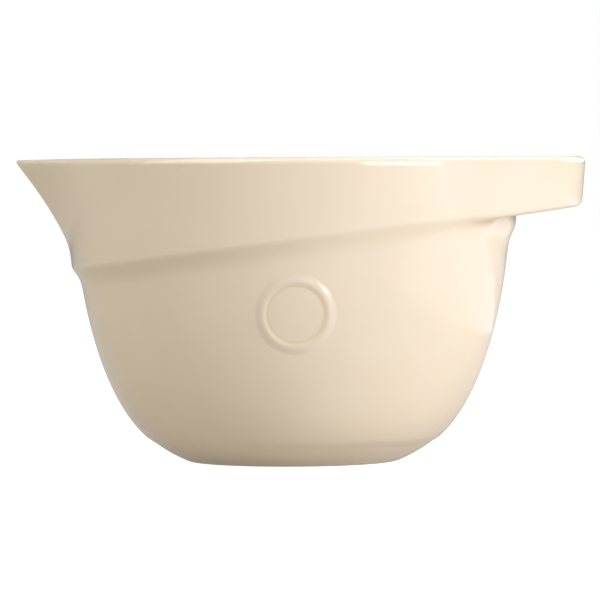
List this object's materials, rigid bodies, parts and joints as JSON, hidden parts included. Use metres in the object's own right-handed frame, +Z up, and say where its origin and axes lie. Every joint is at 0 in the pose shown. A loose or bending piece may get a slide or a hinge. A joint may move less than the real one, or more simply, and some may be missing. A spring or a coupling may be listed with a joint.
{
  "type": "mixing bowl",
  "caption": "Deep round stoneware mixing bowl with a stepped collar, a pouring spout on one side, a hollow lug handle on the other and a bevelled foot.",
  "frame": {"origin": "middle of the flat resting face, on the bowl's upright axis", "axes": "+Z up along the bowl's axis, +X towards the lug handle, -X towards the pouring spout"},
  "size_m": [0.3121, 0.2506, 0.1662],
  "materials": {
    "glazed_stoneware": "satin cream glaze",
    "foot_stoneware": "bare fired clay on the resting face, cream glaze on the bevel"
  },
  "bodies": {
    "root": {"bowl_shell": "glazed_stoneware", "foot_pad": "foot_stoneware", "collar_front": "glazed_stoneware", "collar_back": "glazed_stoneware", "pouring_spout": "glazed_stoneware", "handle_lug": "glazed_stoneware", "blank_seal": "glazed_stoneware"}
  },
  "joints": []
}
